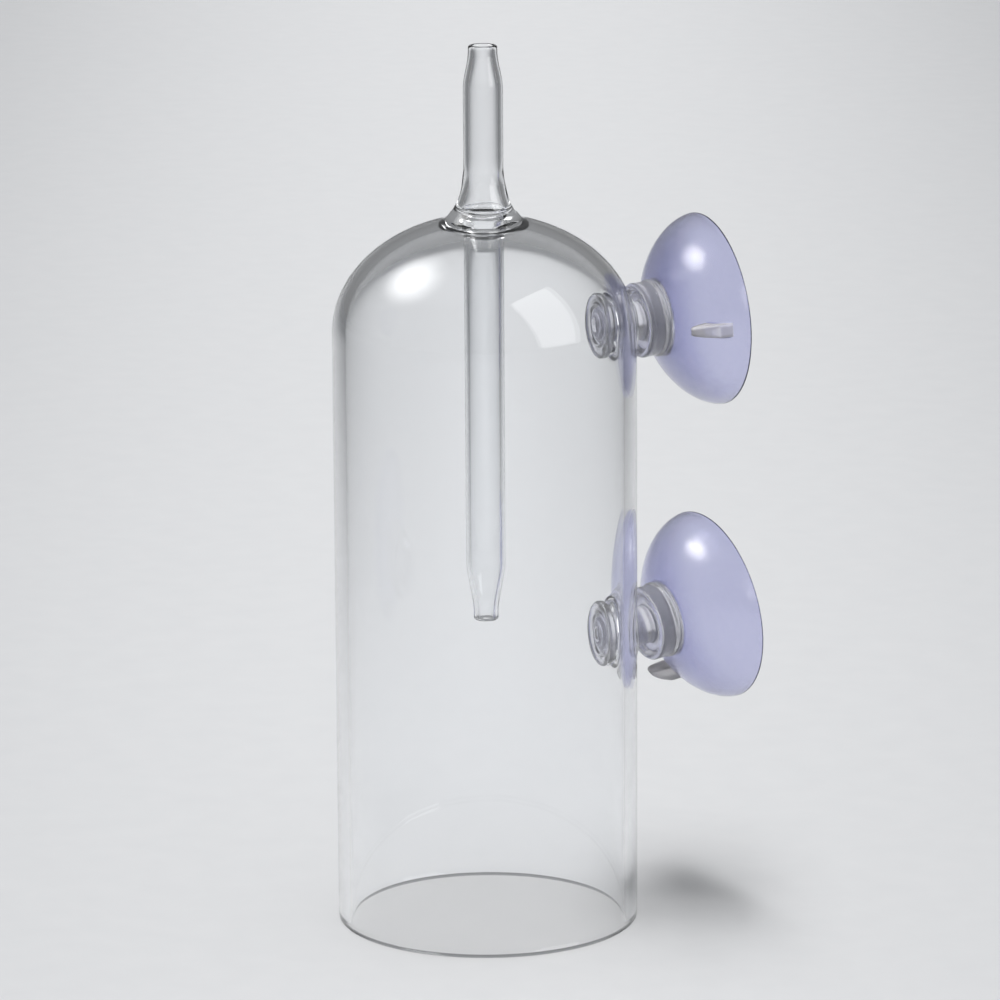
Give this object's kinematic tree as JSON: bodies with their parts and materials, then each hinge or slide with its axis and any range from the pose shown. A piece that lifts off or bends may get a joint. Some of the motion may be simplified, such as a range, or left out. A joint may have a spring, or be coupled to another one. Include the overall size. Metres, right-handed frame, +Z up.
{
  "type": "carbon dioxide diffuser",
  "caption": "Clear glass bell with a gas tube through its dome, held to an aquarium pane by soft clear suction cups that turn in holes in its side.",
  "frame": {"origin": "centre of the bell's open bottom rim, on the bell's axis, at the level of the rim", "axes": "+Z up the bell's axis, towards the hose nipple; +Y from the bell towards the tank wall, the side that the suction cups stand on; +X completes the frame"},
  "size_m": [0.046, 0.0643, 0.1352],
  "materials": {
    "clear_glass": "clear, fire-polished borosilicate",
    "clear_vinyl": "clear soft vinyl with a faint violet-blue tint, glossy"
  },
  "bodies": {
    "glass": {"bell_shell": "clear_glass", "tube_seal": "clear_glass", "inlet_tube": "clear_glass", "drop_tube": "clear_glass", "upper_hole_lip": "clear_glass", "lower_hole_lip": "clear_glass"},
    "upper_cup": {"upper_cup_stem": "clear_vinyl"},
    "upper_skirt": {"upper_cup_skirt": "clear_vinyl", "upper_pull_tab": "clear_vinyl"},
    "lower_cup": {"lower_cup_stem": "clear_vinyl"},
    "lower_skirt": {"lower_cup_skirt": "clear_vinyl", "lower_pull_tab": "clear_vinyl"}
  },
  "joints": [
    {"name": "upper_cup_turn", "type": "hinge", "parent": "glass", "child": "upper_cup", "pos_m": [0, 0.02235, 0.0913], "axis": [0, 1, 0], "continuous": true},
    {"name": "upper_cup_press", "type": "slide", "parent": "upper_cup", "child": "upper_skirt", "axis": [0.0739, -0.9945, -0.0739], "range_m": [0, 0.004], "stiffness_N_per_m": 300, "deforming": ["upper_cup_skirt", "upper_pull_tab"]},
    {"name": "lower_cup_turn", "type": "hinge", "parent": "glass", "child": "lower_cup", "pos_m": [0, 0.02235, 0.0431], "axis": [0, 1, 0], "continuous": true},
    {"name": "lower_cup_press", "type": "slide", "parent": "lower_cup", "child": "lower_skirt", "axis": [0.1746, -0.9751, -0.1364], "range_m": [0, 0.004], "stiffness_N_per_m": 300, "deforming": ["lower_cup_skirt", "lower_pull_tab"]}
  ]
}
